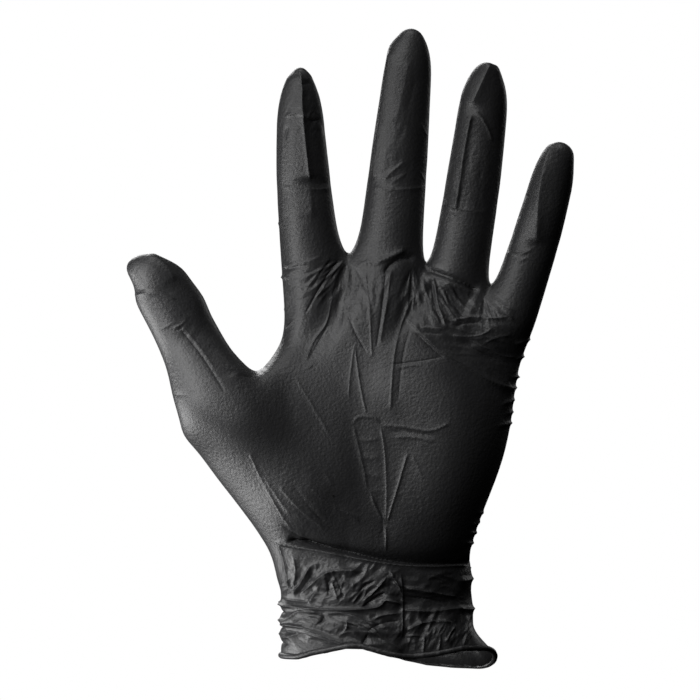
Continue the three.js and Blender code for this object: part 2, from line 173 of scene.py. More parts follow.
apply_modifier(film, "SUBSURF", levels=2, render_levels=2)
points = read_points(film)
write_points(film, points + read_points(film, "normal") * SHRINKAGE)
print("smooth film:", len(film.data.polygons), "faces")

# %% [markdown]
# ## The hem and the fingertips
#
# The hem hangs in a wave, lower at the back on the little finger's side. Each line gives its height from the
# thumb's side to the other. The fingertips of a dipped glove are slightly too long for the hand and fold into
# corners. Each pull moves the film near one place, as a grab brush does. The palm's pads swell towards the
# front, and the film is drawn in between them, so a few soft bulges and hollows follow.

# %% Wave the hem, pull the tips into shape and raise the palm's pads
FRONT_HEM = ((-34, -40.5), (-27, -40), (-21, -38.2), (-15, -36.8), (-9, -35.4), (-3, -35.6), (4, -37.6),
             (11, -39.2), (15, -39.3), (24, -38.4), (33, -36.7), (43, -37.2))
BACK_HEM = ((-34, -40.5), (-24, -39.5), (-12, -38), (-2, -39), (6, -41), (13, -43.4), (21, -45), (30, -45.6),
            (44, -45.6))
WAVE_TOP = -22
TURN_DEPTH = 12  # over this depth the front's line becomes the back's

# x and z of a place, how far the pull reaches, and how far it moves the film in x and z
PULLS = (
    (-89, 102, 4, -0.9, 0.4),
    (-87, 95, 5, 1.8, 0),
    (-80, 109, 7, 0.6, -1.8),
    (-74, 105.5, 5, -2.0, -0.4),
    (-63, 91, 6, 1.0, 0),
    (-67, 40, 6, -1.6, 0),
    (-42, 64, 5, 0, -0.7),
    (-8.5, 107, 4, 0, -1.2),
    (-26, 174, 4, 0.2, 1.2),
    (6, 183, 4, -0.6, 0.6),
    (45.5, 176, 3, 0.8, 0.4),
    (74, 144, 3.5, 0.8, 0.3),
    (42, -31, 6, -1.8, 0),
)

# x and z of a place on the palm's side, its reach along x and z, and how far it bulges out of the palm
BULGE_FACING = (0, 0.8)  # how far the film must turn to the front to bulge, from not at all to fully
BULGES = (
    (-38, 54, 15, 17, 5.0),
    (-47, 43, 20, 10, 1.5),
    (24, 55, 20, 38, 3.2),
    (-16, 72, 13, 16, -2.0),
    (30, 90, 8, 5, -1.6),
)


def wave_hem(points):
    front = np.interp(points[:, 0], *np.array(FRONT_HEM).T)
    back = np.interp(points[:, 0], *np.array(BACK_HEM).T)
    share = smooth_step(-TURN_DEPTH, TURN_DEPTH, points[:, 1])
    line = front + (back - front) * share
    near = 1 - smooth_step(HEM_HEIGHT, WAVE_TOP, points[:, 2])
    points[:, 2] += (line - HEM_HEIGHT) * near


def pull(points, x, z, reach, move_x, move_z):
    distance = np.hypot(points[:, 0] - x, points[:, 2] - z)
    share = np.exp(-(distance / reach) ** 2)
    points[:, 0] += move_x * share
    points[:, 2] += move_z * share


def bulge(points, front, x, z, reach_x, reach_z, height):
    distance = np.hypot((points[:, 0] - x) / reach_x, (points[:, 2] - z) / reach_z)
    points[:, 1] -= height * np.exp(-distance ** 2) * front


points = read_points(film)
front = smooth_step(*BULGE_FACING, -read_points(film, "normal")[:, 1])
wave_hem(points)
for row in PULLS:
    pull(points, *row)
for row in BULGES:
    bulge(points, front, *row)
write_points(film, points)
print("hem from", round(points[:, 2].min(), 1), "mm")

# %% [markdown]
# ## Creases
#
# A worn film is full of creases: narrow ridges where it is pinched, and ledges where one side stands proud of
# the other. They could be sculpted or simulated. Here each is a stroke with a height and a reach on each side,
# which gives a ridge, a groove or a ledge from one formula. A stroke is a route of x and z in millimetres on
# the face that it marks. Its height, and its reaches to the left and right of its travel as the palm's side
# shows them, are shares of these sizes.

# %% Strokes on the palm's side of the fingers and the thumb
TAUT_HEIGHT = 0.75  # a crease where the film is taut over the hand
TAUT_REACH = 0.5
LOOSE_HEIGHT = 1.0  # a fold of the loose film round the wrist
LOOSE_REACH = 0.6

# height, left, right, route
INDEX_STROKES = (
    (2.2, 8.0, 5.0, ((-22.5, 133), (-23.9, 145), (-24.7, 154), (-25.2, 161), (-25.4, 168), (-26, 174))),
    (0.7, 1.0, 0.8, ((-22.5, 133), (-23.9, 145), (-24.7, 154), (-25.2, 161), (-25.4, 168), (-26, 174))),
    (0.8, 5.0, 3.0, ((-21.5, 119), (-22, 126), (-22.6, 133))),
    (-0.5, 0.7, 0.7, ((-29, 169), (-25.8, 168.2), (-21.5, 169.6))),
    (0.4, 0.8, 0.8, ((-29, 171.2), (-25.5, 170.4), (-21.5, 171.4))),
    (0.8, 0.8, 0.9, ((-32, 156.8), (-28, 158.2), (-25, 157.6), (-23.4, 156.6), (-22, 158.8))),
    (-0.7, 0.6, 1.2, ((-24, 156), (-21, 155.6), (-17.5, 156.8))),
    (-0.4, 0.8, 0.8, ((-31, 160), (-26.5, 159.8))),
    (-0.55, 0.9, 0.9, ((-31.4, 147), (-31, 151), (-29.6, 154.5))),
    (-0.45, 0.7, 0.9, ((-16.5, 149), (-17.2, 152), (-18.6, 156))),
    (0.5, 0.7, 1.8, ((-33, 131.8), (-26, 131.2), (-20, 130.6), (-13.5, 131.6))),
    (-0.35, 0.8, 0.6, ((-23, 133), (-19, 132.6), (-14, 133.4))),
    (0.25, 1.2, 1.0, ((-32.2, 117), (-32.4, 140), (-31.6, 156))),
    (-0.3, 1.0, 1.0, ((-33, 121), (-28, 119.6), (-22, 120.4))),
)
MIDDLE_STROKES = (
    (1.1, 0.7, 7.0, ((0.4, 134), (1.8, 144), (3.9, 160), (5.2, 171), (7, 182))),
    (0.5, 5.0, 4.0, ((9, 154), (11.6, 166), (14, 178))),
    (-0.3, 1.5, 2.0, ((13, 158), (15, 166), (16.5, 172))),
    (0.55, 0.7, 1.6, ((-1, 131.6), (7, 130.6), (14.4, 130.8), (20, 131.8))),
    (0.65, 1.2, 2.0, ((4, 133.6), (7.7, 137), (12.5, 141))),
    (0.4, 1.0, 1.2, ((7, 132.8), (11, 135), (14, 137.4))),
    (0.35, 0.6, 0.6, ((17, 156.5), (19.6, 152), (21.5, 148.5))),
    (0.35, 0.6, 0.6, ((16.8, 138.5), (18.6, 136), (20.2, 133.2))),
    (1.6, 2.0, 0.9, ((1, 103.6), (4, 104.4), (8, 106), (13.2, 108.8))),
    (0.6, 1.2, 1.2, ((-6, 101.6), (-2, 103.8), (3, 104))),
    (-1.8, 1.4, 3.0, ((4.4, 99), (6.4, 102.4), (11, 105.4), (17, 106))),
)
RING_STROKES = (
    (2.0, 7.0, 4.5, ((36.8, 160.6), (39.4, 166.5), (43, 174.6), (44.6, 177))),
    (0.65, 0.8, 1.1, ((36.6, 159.8), (40.2, 156.8), (42.8, 152), (44.4, 147))),
    (1.5, 5.5, 1.0, ((31, 122), (32.4, 130.6), (34.6, 145.4), (37, 158.4))),
    (0.6, 0.6, 0.7, ((27.4, 122.6), (29.8, 121), (33, 122.6))),
    (0.35, 1.0, 1.4, ((26, 126), (31, 124), (37, 122.6), (43, 122))),
    (-3.0, 2.0, 2.0, ((18.6, 102.4), (22.4, 100.8), (27.6, 98.6), (34.6, 96), (40.2, 93.2))),
    (0.7, 0.9, 1.0, ((19, 99.6), (24, 97.8), (30, 95.4), (38, 92))),
)
LITTLE_STROKES = (
    (1.7, 5.0, 4.0, ((60.2, 109.8), (60.8, 119.6), (61.4, 127), (62.4, 133.6), (64.2, 141.6), (67, 147.5))),
    (-0.45, 0.6, 0.8, ((55.5, 128.4), (58.5, 127.8), (61.5, 128))),
    (0.45, 0.7, 1.0, ((48, 107.6), (54, 106.8), (59.5, 108.8))),
    (0.35, 0.8, 0.8, ((51, 104.2), (55, 104.6), (58.5, 106))),
    (0.8, 0.8, 1.2, ((40.8, 92), (45, 87.4), (50.4, 84.2), (52.5, 81.6))),
    (0.6, 0.8, 1.0, ((39.4, 89.5), (43.5, 84.8), (48, 81.8))),
    (0.5, 0.8, 1.0, ((44, 91.4), (48.6, 88), (53.5, 85.6))),
)
THUMB_STROKES = (
    (1.0, 8.0, 2.4, ((-70.5, 96.5), (-75.8, 103.4), (-81, 107.6))),
    (0.6, 0.7, 1.0, ((-87.5, 91.6), (-79, 92.4), (-70, 89.8))),
    (-0.35, 1.0, 0.7, ((-86.5, 93.2), (-79, 94), (-71, 91.6))),
    (0.5, 0.8, 0.8, ((-73, 79.4), (-69.5, 80.6), (-66, 83.2))),
    (-0.4, 0.7, 0.8, ((-71.5, 78.2), (-67, 80.6))),
    (-0.45, 0.7, 0.7, ((-69.8, 80.2), (-62.9, 71.8), (-57.5, 64), (-52.6, 56))),
    (0.3, 0.7, 0.7, ((-68.6, 80.6), (-61.8, 72.4), (-56.4, 64.6))),
    (-0.3, 0.8, 0.8, ((-73, 55.8), (-67, 55.4), (-62, 56.2))),
    (0.3, 1.0, 1.0, ((-79, 78), (-74, 80.4), (-70.5, 82.6))),
)

# %% Strokes on the palm
PALM_STROKES = (
    # round the index finger's root
    (-0.7, 0.7, 0.8, ((-24.5, 84.4), (-16.4, 98.4), (-11.2, 105.6))),
    (0.6, 0.8, 0.8, ((-20.6, 90), (-14.2, 99.4), (-9.8, 105))),
    (0.45, 0.8, 0.8, ((-26, 90.6), (-20.4, 98.6), (-14.6, 106))),
    (-0.45, 0.7, 0.8, ((-22.6, 93), (-17.4, 101.4), (-13.6, 106))),
    (0.4, 0.7, 0.9, ((-33, 102.6), (-25, 103.4), (-17, 106.6))),
    (0.35, 0.7, 0.9, ((-33, 99.4), (-27, 100.6), (-21, 101.4))),
    (-0.5, 0.8, 0.8, ((-34, 101), (-28, 102), (-22, 103.4))),
    (0.6, 0.8, 0.8, ((-34.5, 99), (-31.5, 98.6), (-28.6, 97.2))),
    (0.5, 0.8, 0.9, ((-33, 78.6), (-30, 81), (-27.6, 83.6))),
    # long fine lines down from the fingers
    (0.5, 0.7, 0.7, ((-24.3, 67), (-20.6, 75.4), (-16.2, 82), (-14.2, 91.4))),
    (-0.35, 0.6, 0.6, ((-22.8, 68), (-18.8, 75.4), (-15, 82))),
    (0.35, 0.7, 0.7, ((-26, 64.8), (-22.4, 65.4), (-20.6, 68.4))),
    (0.3, 0.8, 0.8, ((-14.2, 39.6), (-22.4, 53.4), (-28.4, 63))),
    (0.4, 0.7, 0.7, ((0.4, 68), (-0.7, 88.4), (-2.4, 101))),
    (-0.5, 0.8, 0.8, ((1.8, 71.8), (3.7, 84.6), (5.6, 101))),
    (0.55, 0.8, 1.2, ((3, 74), (5.4, 87), (7.6, 103))),
    (-0.55, 0.7, 0.7, ((-8.8, 86), (-6, 78.4), (-1.4, 70.6))),
    (0.3, 0.7, 0.7, ((-8.2, 53), (-7.8, 61), (-5.9, 75))),
    (0.45, 0.6, 0.6, ((-1.6, 47.8), (-4, 59), (-5.9, 73))),
    (0.4, 0.8, 0.8, ((-10.5, 79.6), (-9.6, 86), (-10.4, 92))),
    (0.5, 1.0, 0.8, ((7, 49), (7.6, 60.7), (8.8, 71.8), (11.4, 82), (15.4, 91.6))),
    (-0.3, 0.8, 0.8, ((9.8, 52), (10.6, 62), (12, 72), (14.6, 81))),
    # the loose film's fan below the ring finger
    (-2.4, 6, 14, ((20, 97), (28, 93), (38, 88.5))),
    (0.75, 0.8, 1.0, ((18.4, 100.2), (21.2, 89.6), (25.6, 81))),
    (0.9, 0.7, 1.1, ((22.4, 99.6), (25, 87), (28, 79.6))),
    (-0.8, 0.8, 0.8, ((21.4, 97.6), (23.4, 88.6), (26.4, 80.6))),
    (0.7, 0.8, 0.9, ((26.8, 98), (32, 90.6), (37.4, 85.4))),
    (-0.6, 0.8, 0.8, ((25.6, 95.6), (30, 88.8), (34.8, 83.6))),
    (0.55, 0.8, 0.9, ((34, 93.4), (38, 88.6), (42.4, 85.2))),
    (0.55, 0.8, 0.8, ((24, 93.4), (29.6, 85), (33, 80.4))),
    (0.7, 0.8, 1.0, ((29, 82.4), (36.4, 83.8), (44, 83.4), (50.6, 84))),
    (-0.6, 0.8, 0.8, ((30, 80.6), (37, 81.8), (45, 81.2))),
    (0.6, 0.8, 0.9, ((28.4, 77), (35, 76.6), (40.4, 77.4), (45, 80.4))),
    (0.65, 0.8, 0.9, ((35, 76), (42, 72.4), (47.6, 69.8), (54, 69))),
    (-0.6, 0.8, 0.8, ((34, 74), (41, 70.6), (48, 67.8))),
    (0.6, 0.8, 0.9, ((17, 80.2), (22, 79.8), (27.4, 79))),
    (-0.5, 0.7, 0.7, ((17.6, 78.6), (22, 78), (26.8, 77.4))),
    (1.2, 2.4, 0.8, ((12.4, 84), (18.8, 77.3), (25.4, 71), (36.4, 64.6), (43.8, 60), (52, 57.6))),
    (-0.5, 0.8, 1.0, ((15.6, 79), (21, 73.6), (27, 68.4))),
    (0.35, 0.8, 0.8, ((26, 87), (23.6, 94), (21, 100))),
    (0.5, 0.9, 0.9, ((40, 73.6), (46, 76.4), (52, 77.4))),
    # across the middle of the palm
    (-0.4, 0.6, 0.6, ((6.6, 66.4), (16, 67.6), (26.4, 69.4))),
    (0.3, 0.7, 0.7, ((8, 65), (14, 66), (19, 66.2))),
    (0.55, 0.7, 0.8, ((3.3, 44.6), (12.5, 43.8), (21.7, 42.6), (29.4, 45.8))),
    (0.5, 0.7, 0.7, ((7, 39.8), (15, 40.2), (24, 38.2))),
    (0.4, 0.6, 0.6, ((14, 37.2), (18, 37.6), (22.4, 37))),
    (-0.4, 0.7, 0.7, ((5, 42), (14, 42), (23, 40.4))),
    # a flattened tuck down the middle
    (0.6, 0.8, 1.0, ((-7.2, 45), (-4.4, 47.4), (1, 47.2), (3.4, 44.8))),
    (0.35, 1.4, 0.7, ((-1.2, 20.4), (-3.3, 31.3), (-6.6, 45))),
    (0.4, 0.7, 1.4, ((5.2, 9), (5.5, 20.2), (4.8, 35), (3.2, 45))),
    (0.35, 1.2, 1.2, ((-6, 39.4), (-1, 39), (3.6, 39.8))),
    (0.35, 1.2, 1.2, ((-5.4, 33.2), (-1, 32.6), (4, 32.6))),
    (0.35, 1.2, 1.2, ((-4.6, 27), (-1, 26.4), (4.4, 25.6))),
    (0.3, 1.2, 1.2, ((-3, 21.4), (1, 20.6), (5, 20))),
    (0.6, 0.8, 0.8, ((-0.6, 20.4), (2.2, 13.4), (5.4, 8.8))),
    (0.6, 0.8, 0.8, ((13.4, 35.2), (9.6, 22), (5.6, 8.8))),
    (0.6, 0.8, 0.8, ((5.2, 8.8), (5.4, 3.4), (5.2, -2))),
    (-0.35, 0.9, 0.9, ((1.6, 17), (4, 11.4), (4.2, 3))),
    (0.25, 0.8, 0.8, ((14.6, 35), (17.2, 28.6), (19.6, 23.4))),
    # lines over the heel, on the thumb's side
    (0.4, 0.8, 0.8, ((-44.6, 36), (-40.6, 26.8), (-33.4, 13.4), (-28, 5.4))),
    (0.5, 0.8, 0.8, ((-34, 23.4), (-25, 13.4), (-16.6, 7))),
    (-0.45, 0.7, 0.7, ((-29.4, 24.4), (-22, 14.4), (-16.4, 8.6))),
    (0.55, 0.8, 1.0, ((-21.8, 21.6), (-14.4, 15.6), (-3.6, 10.6))),
    (0.4, 0.8, 0.8, ((-15.4, 15.8), (-9.6, 12.6), (-3, 9))),
    (0.3, 0.7, 0.7, ((-17, 27), (-13.4, 22))),
    (0.35, 0.7, 0.7, ((-39.6, 26.8), (-33, 17), (-28.6, 11))),
    (-0.7, 0.8, 1.2, ((-33, 8.4), (-27.6, 4.6), (-22, 0.6))),
)

# %% Strokes on the front of the cuff
CUFF_STROKES = (
    # the taut heel ends in a deep shadow above the loose film
    (-3.0, 2.4, 0.8, ((-31, 2.2), (-21, 0.4), (-7.4, -2.1), (6, -4.5), (18.8, -5.6), (38, -5.8))),
    (-1.4, 4.0, 1.0, ((-27, 1.6), (-8, -1.8), (6, -4.2), (18.8, -5.4), (38, -5.6))),
    (1.1, 0.8, 1.0, ((-35, 2), (-27, 0.2), (-21, -0.7), (-7.4, -3.3), (6, -5.7), (18.8, -6.8), (36, -7))),
    # fans of film below it
    (0.6, 0.8, 0.8, ((-30, -19), (-31, -9.2), (-34, 2.4))),
    (0.5, 0.8, 0.8, ((-28.8, -18.6), (-27.4, -9), (-28.6, -2.4))),
    (-1.4, 0.9, 1.6, ((-27.6, -18.4), (-24, -13), (-21, -8.2))),
    (0.9, 1.2, 0.8, ((-29, -19), (-25.4, -12.6), (-21.8, -6.6))),
    (-1.1, 0.7, 0.9, ((-15.8, -17.8), (-15.6, -13.6), (-16.4, -10))),
    (-0.6, 0.6, 0.6, ((-9.8, -19.4), (-11.4, -14), (-13.4, -10))),
    (0.7, 0.7, 0.8, ((-12, -19.4), (-13.6, -14), (-14.8, -10))),
    (1.0, 1.2, 1.2, ((-27.2, -18), (-22, -13.8), (-17, -9.6), (-11, -8.2), (-3.6, -8.6))),
    (0.6, 0.8, 0.8, ((-24, -17.4), (-21.4, -20.6), (-16.6, -21.4))),
    (-0.9, 0.9, 1.1, ((-5.4, -17), (-2, -13.6), (2.4, -11.2))),
    (0.9, 1.0, 1.0, ((-4, -19.8), (1, -15.8), (6.4, -9.6))),
    (-1.5, 0.8, 1.3, ((-4, -21.8), (0.6, -18.6), (5.6, -15.6))),
    (1.1, 0.9, 0.8, ((11, -17), (8.8, -12.4), (6.4, -7.8))),
    (0.7, 0.7, 0.7, ((4.6, -18.4), (8, -19.4), (12, -21.2))),
    (1.0, 3.0, 0.5, ((11.2, -33), (11.4, -22), (10.8, -9))),
    # lobes of bunched film
    (1.3, 0.9, 1.6, ((-36, -21), (-26, -21.8), (-12, -22.4), (1.5, -21.5), (5.2, -18.8), (10.6, -20.6))),
    (1.1, 0.9, 1.6, ((10.6, -22.4), (20, -23.2), (34, -22.6))),
    (-0.9, 0.9, 0.8, ((-36, -19), (-30, -19.6), (-22, -19.8))),
    (1.0, 0.9, 1.2, ((-36, -27.6), (-30.6, -26.6), (-26.4, -23.6), (-19, -23.8))),
    (-1.3, 0.7, 1.1, ((-20.4, -28.6), (-18.2, -26.2), (-17, -23.6))),
    (-0.8, 0.8, 0.8, ((-36, -24.8), (-30, -24.2))),
    (1.1, 0.9, 1.3, ((-36, -30), (-31, -28.8), (-24.3, -29.2), (-16.2, -32), (-8, -35))),
    (-0.9, 0.8, 0.8, ((-34, -31.4), (-29, -31.2), (-22, -32))),
    (0.8, 0.9, 1.2, ((-36, -34.6), (-29.6, -32.8), (-25, -31), (-14.6, -33.6), (-3.6, -36.6))),
    (1.0, 1.0, 1.4, ((-17.8, -24), (-9.6, -24), (-2.2, -27), (5.2, -32.8), (11.8, -38))),
    (-1.0, 0.8, 1.0, ((-3.8, -36), (-2.4, -33), (-0.6, -30))),
    (0.7, 0.8, 0.8, ((-1, -26.6), (4, -24.4), (11, -23.6))),
    (-0.6, 0.8, 1.0, ((-2, -30), (4, -27), (10.6, -26.4))),
    (0.6, 0.8, 0.8, ((-10.6, -31), (-8.8, -28.4), (-9, -25.4))),
    (1.0, 1.1, 1.2, ((11.6, -14.2), (20, -15.8), (31.8, -18.4))),
    (-0.8, 1.0, 1.0, ((12, -17.6), (21, -18.8), (30, -20.6))),
    (0.9, 1.0, 1.0, ((12.4, -30), (20, -27), (30, -27.4))),
    (0.7, 0.8, 0.8, ((18.8, -39.6), (19, -35.4), (19.4, -31))),
    (0.7, 0.8, 0.8, ((24.2, -38.6), (24.8, -35), (25.2, -31))),
    (0.9, 0.9, 0.9, ((26.4, -35), (28.8, -31), (31.4, -27))),
    (0.5, 0.7, 0.7, ((12, -32), (16, -31.6), (19.6, -32.2))),
    (0.8, 0.9, 0.9, ((33, -37), (34.6, -31), (35, -25))),
)


# %% [markdown]
# Some creases wrap right round the edge of the hand, where they make the small bumps of its outline. They are
# the same strokes, but they mark whatever faces that way. The bumps down the little finger's side are one
# stroke for each height, each with its own size and slant by chance, from a fixed seed.

# %% Strokes that wrap round the edges
ULNAR_BUMPS = ((57.4, 75.6), (55.2, 69.4), (53.6, 62), (53, 58), (51.8, 53.4), (51.4, 49), (50.8, 45),
               (40.6, 12.2), (39.2, 8.6), (38, 4.8), (37.4, 1))
BUMP_HEIGHTS = (0.6, 1.2)
BUMP_WIDTH = 4
WIDTH_SHARES = (0.6, 1.4)
BUMP_SLANTS = (-2.2, 0.8)  # mm that a bump's inner end stands above its middle
BUMP_END = 3

chance = random.Random(8)
EDGE_STROKES = []
for x, z in ULNAR_BUMPS:
    height = chance.uniform(*BUMP_HEIGHTS)
    width = chance.uniform(*WIDTH_SHARES) * BUMP_WIDTH
    slant = chance.uniform(*BUMP_SLANTS)
    route = ((x - width, z + slant), (x, z), (x + BUMP_END, z - slant / 3))
    EDGE_STROKES.append((height, 0.8, 1.1, route))
EDGE_STROKES += [
    (1.1, 2.2, 2.0, ((30, -12.6), (36, -12.4), (42, -12))),
    (1.0, 1.4, 1.4, ((30, -22.6), (38, -23.4), (44, -24))),
    (1.0, 2.2, 1.8, ((-38, -21.6), (-33, -21.4), (-28, -21.8))),
    (1.0, 2.2, 1.8, ((-38, -27.4), (-33, -27.4), (-29, -26.8))),
    (1.0, 2.2, 1.8, ((-38, -33), (-33, -32.6), (-29, -32.4))),
    (-0.9, 1.0, 1.0, ((-38, -24.4), (-34, -24.4), (-30, -24.2))),
    (-0.9, 1.0, 1.0, ((-38, -30.2), (-34, -30), (-30, -29.8))),
    (-0.9, 1.0, 1.0, ((-38, -36), (-34, -35.8), (-30, -35.4))),
    (0.5, 0.7, 0.7, ((-36, 119), (-33.6, 118.2), (-31.4, 117.2))),
    (0.7, 0.7, 0.7, ((-36, 99.6), (-33.4, 98.8), (-30.4, 97.8))),
]

# %% Strokes on the back
BACK_STROKES = [
    # loose film between the tendons
    (0.8, 2.6, 1.2, ((-12, 36), (-14, 60), (-20, 84))),
    (-0.8, 2.2, 1.6, ((-4, 30), (-4, 58), (-6, 88))),
    (0.8, 1.6, 2.4, ((4, 34), (6, 60), (8, 86))),
    (-0.8, 2.2, 1.8, ((12, 32), (16, 56), (20, 84))),
    (0.8, 2.4, 1.4, ((20, 30), (26, 54), (32, 78))),
    (-0.7, 2.0, 1.8, ((28, 30), (36, 52), (44, 74))),
    (0.5, 0.8, 0.8, ((-26, 40), (-16, 52), (-8, 70))),
    (0.45, 0.8, 0.8, ((10, 22), (14, 40), (12, 58))),
    (0.5, 0.8, 0.9, ((34, 24), (30, 40), (32, 56))),
    (0.45, 0.8, 0.8, ((-30, 30), (-22, 34), (-10, 30))),
    (0.4, 0.8, 0.8, ((-4, 20), (8, 24), (22, 20))),
    (0.5, 0.9, 1.4, ((-44, 50), (-38, 36), (-30, 22))),
    (0.4, 0.8, 1.0, ((-56, 66), (-48, 50), (-42, 40))),
    # knuckles
    (0.5, 0.9, 1.2, ((-34, 86), (-26, 88.4), (-16, 87))),
    (0.5, 0.9, 1.2, ((-2, 92), (6, 93.4), (16, 92))),
    (0.5, 0.9, 1.2, ((22, 86), (30, 87), (40, 84))),
    (0.5, 0.9, 1.2, ((42, 78), (49, 78), (56, 74))),
    (-0.4, 0.9, 0.9, ((-32, 83.6), (-26, 85), (-18, 84))),
    (-0.4, 0.9, 0.9, ((0, 89), (7, 90), (14, 89))),
    (-0.4, 0.9, 0.9, ((24, 82.8), (30, 83.6), (38, 81.4))),
    # the cuff's step and lobes
    (-2.0, 2.2, 1.0, ((-38, 1), (-20, -1), (0, -2), (20, -4), (38, -6))),
    (1.2, 0.9, 1.6, ((-38, -1.4), (-20, -3.6), (0, -4.6), (20, -6.6), (38, -8.6))),
    (1.1, 1.2, 1.6, ((-36, -13), (-16, -11), (4, -14), (34, -13))),
    (1.2, 1.0, 1.6, ((-36, -21), (-14, -22), (8, -20.6), (36, -23))),
    (1.1, 1.0, 1.5, ((-36, -28), (-10, -30), (12, -28), (38, -31))),
    (-0.9, 1.2, 1.2, ((-34, -24.6), (-8, -26), (14, -24.4), (36, -27))),
    (-1.0, 1.0, 1.4, ((-22, -19), (-16, -13), (-12, -7))),
    (1.0, 1.2, 1.0, ((-20, -20), (-13, -13.6), (-9, -6.4))),
    (-1.0, 1.0, 1.2, ((16, -20), (10, -14), (8, -8))),
    (0.9, 1.0, 1.0, ((20, -20), (14, -13), (12, -7))),
    (0.8, 0.9, 0.9, ((-6, -38), (-5, -33), (-8, -29))),
    (0.9, 0.9, 0.9, ((24, -40), (23, -34), (26, -29))),
    (-0.8, 0.9, 0.9, ((8, -38), (10, -33), (8, -28))),
    (0.8, 0.9, 0.9, ((-24, -38), (-22, -33), (-25, -28))),
]

# A finger's middle line on the back: x and z at its root and at its tip, and its half width
FINGER_LINES = (
    ((-22, 98), (-27, 168), 10),
    ((6, 102), (14, 182), 11),
    ((31, 94), (44, 170), 10),
    ((51, 84), (68, 140), 8.5),
    ((-56, 56), (-82, 100), 11),
)
# where each wrinkle lies, as a share of the finger's length, and its height
KNUCKLE_WRINKLES = ((0.36, 0.5), (0.4, -0.45), (0.43, 0.55), (0.47, -0.4), (0.68, 0.4), (0.72, -0.4))
END_SHARES = (0.5, 1)
END_DROPS = (-1.6, 1.2)
ARCHES = (0.2, 1.4)
HEIGHT_SHARES = (0.6, 1.2)
for (root_x, root_z), (tip_x, tip_z), half_width in FINGER_LINES:
    length = math.hypot(tip_x - root_x, tip_z - root_z)
    across_x, across_z = (tip_z - root_z) / length, (root_x - tip_x) / length
    for share, height in KNUCKLE_WRINKLES:
        middle_x = root_x + (tip_x - root_x) * share
        middle_z = root_z + (tip_z - root_z) * share
        ends = []
        for side in (-1, 1):
            away = side * half_width * chance.uniform(*END_SHARES)
            drop = chance.uniform(*END_DROPS)
            ends.append((middle_x + away * across_x, middle_z + away * across_z + drop))
        arch = (middle_x - across_z, middle_z + across_x * chance.uniform(*ARCHES))
        BACK_STROKES.append((height * chance.uniform(*HEIGHT_SHARES), 0.8, 1.1, (ends[0], arch, ends[1])))

# %% [markdown]
# Between the strokes the film is crumpled all over. That could be simulated as cloth. A noise folded at nought
# has the same look: sharp crests with round valleys between them, and it keeps the strokes where they are.
# Where film is gathered at the webs between the fingers, its folds fan out from there, so those use the angle
# and the distance from the web.

# %% Patches of crumpled film
TO_THE_FRONT = (0, -1, 0)
TO_THE_BACK = (0, 1, 0)
FACING = (-0.05, 0.3)  # how far the film must turn towards a side to be marked, from not at all to fully

# height, x and z of the middle, reach along x and z, the folds' angle, length and spacing
FRONT_CRUMPLES = (
    (2.0, -12, -13, 22, 7, 50, 9, 4.4),
    (1.5, 20, -15, 16, 7, -8, 12, 4.4),
    (2.0, -12, -29, 24, 7, -14, 13, 4.6),
    (1.4, 24, -30, 16, 8, 62, 9, 4.0),
    (0.9, 24, 88, 9, 10, -62, 10, 2.8),
    (0.9, 39, 78, 13, 8, -18, 11, 3.0),
    (0.6, 46, 64, 8, 12, -24, 9, 3.0),
    (0.5, -2, 92, 14, 9, 84, 11, 3.0),
    (0.4, -24, 96, 8, 8, 40, 8, 2.6),
    (0.35, -20, 20, 16, 12, -45, 13, 3.4),
    (0.3, -62, 76, 10, 12, 55, 10, 3.0),
    (0.5, -23, 158, 8, 9, 70, 7, 2.6),
    (0.3, 10, 145, 9, 14, 80, 9, 2.8),
    (0.4, 38, 134, 8, 14, 78, 9, 2.6),
)
BACK_CRUMPLES = (
    (1.5, 0, -13, 36, 7, 20, 12, 4.2),
    (1.5, 0, -30, 36, 8, -12, 13, 4.2),
    (1.0, 0, 40, 38, 34, 76, 24, 6.0),
    (0.7, 4, 88, 34, 10, 60, 12, 3.6),
    (0.6, -60, 76, 14, 18, 50, 12, 3.6),
    (0.5, 20, 132, 60, 34, 84, 12, 3.6),
)
# height, x and z of the web, first and last angle, reach, the angle between folds
WEB_FANS = (
    (1.0, -8, 107, 205, 262, 27, 9),
    (0.7, -8, 106, 262, 310, 24, 10),
    (1.1, 15, 104, 250, 330, 30, 9),
    (0.7, 41, 94, 262, 330, 18, 12),
    (0.6, -35, 62, 120, 200, 24, 12),
)
FAN_LENGTH = 14
FAN_START = (1, 6)  # mm from the web within which the folds rise
PATCH_EDGE = 4  # the higher, the flatter a patch is within its reach
NEARLY_FLAT = 0.03
WARP = 0.8  # how far the folds wander sideways
WARP_SCALE = (0.7, 0.4)
WARP_SEED = 5
OCTAVES = (1, 2.3)
FOLD_LEVEL = 0.18  # about the middle of a folded noise, so that a patch rises as much as it sinks


def folded_noise(along, across):
    """A noise stretched along the folds, with sharp crests."""
    total = np.zeros(len(along))
    for octave in OCTAVES:
        for index, (u, v) in enumerate(zip(along * octave, across * octave)):
            bend = WARP * noise.noise((u * WARP_SCALE[0], v * WARP_SCALE[1], WARP_SEED))
            total[index] += (FOLD_LEVEL - abs(noise.noise((u, v + bend, octave)))) / octave
    return total


